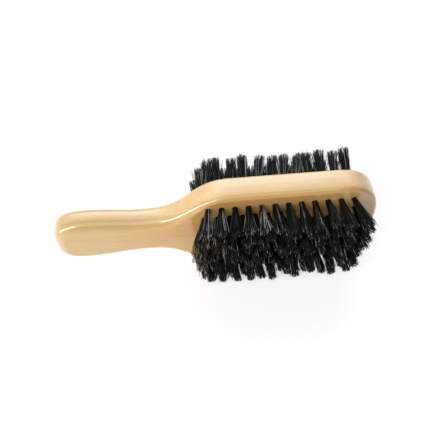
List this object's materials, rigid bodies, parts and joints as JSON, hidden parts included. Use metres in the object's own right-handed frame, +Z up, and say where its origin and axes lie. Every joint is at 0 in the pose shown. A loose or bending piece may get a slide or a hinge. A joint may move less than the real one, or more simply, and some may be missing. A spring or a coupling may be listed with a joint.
{
  "type": "two-sided dry brush",
  "caption": "Two-sided wooden club brush for dry brushing: rounded head, short waisted handle, and staggered tufts of dark natural bristle on both faces.",
  "frame": {"origin": "on the surface the brush stands on, under the middle of the brush's length and thickness; the brush stands on the long side edge of its head", "axes": "+X from the handle to the head's nose; the bristle faces look along -Y (front) and +Y (back); +Z up, across the width of the head"},
  "size_m": [0.178, 0.0498, 0.063],
  "materials": {
    "lacquered_wood": "clear gloss lacquer over pale beech",
    "front_bristle": "dark natural bristle, satin",
    "back_bristle": "dark natural bristle, satin"
  },
  "bodies": {
    "root": {"wooden_body": "lacquered_wood", "front_bristle_row_1": "front_bristle", "front_bristle_row_2": "front_bristle", "front_bristle_row_3": "front_bristle", "front_bristle_row_4": "front_bristle", "front_bristle_row_5": "front_bristle", "front_bristle_row_6": "front_bristle", "front_bristle_row_7": "front_bristle", "back_bristle_row_1": "back_bristle", "back_bristle_row_2": "back_bristle", "back_bristle_row_3": "back_bristle", "back_bristle_row_4": "back_bristle", "back_bristle_row_5": "back_bristle", "back_bristle_row_6": "back_bristle", "back_bristle_row_7": "back_bristle"}
  },
  "joints": []
}
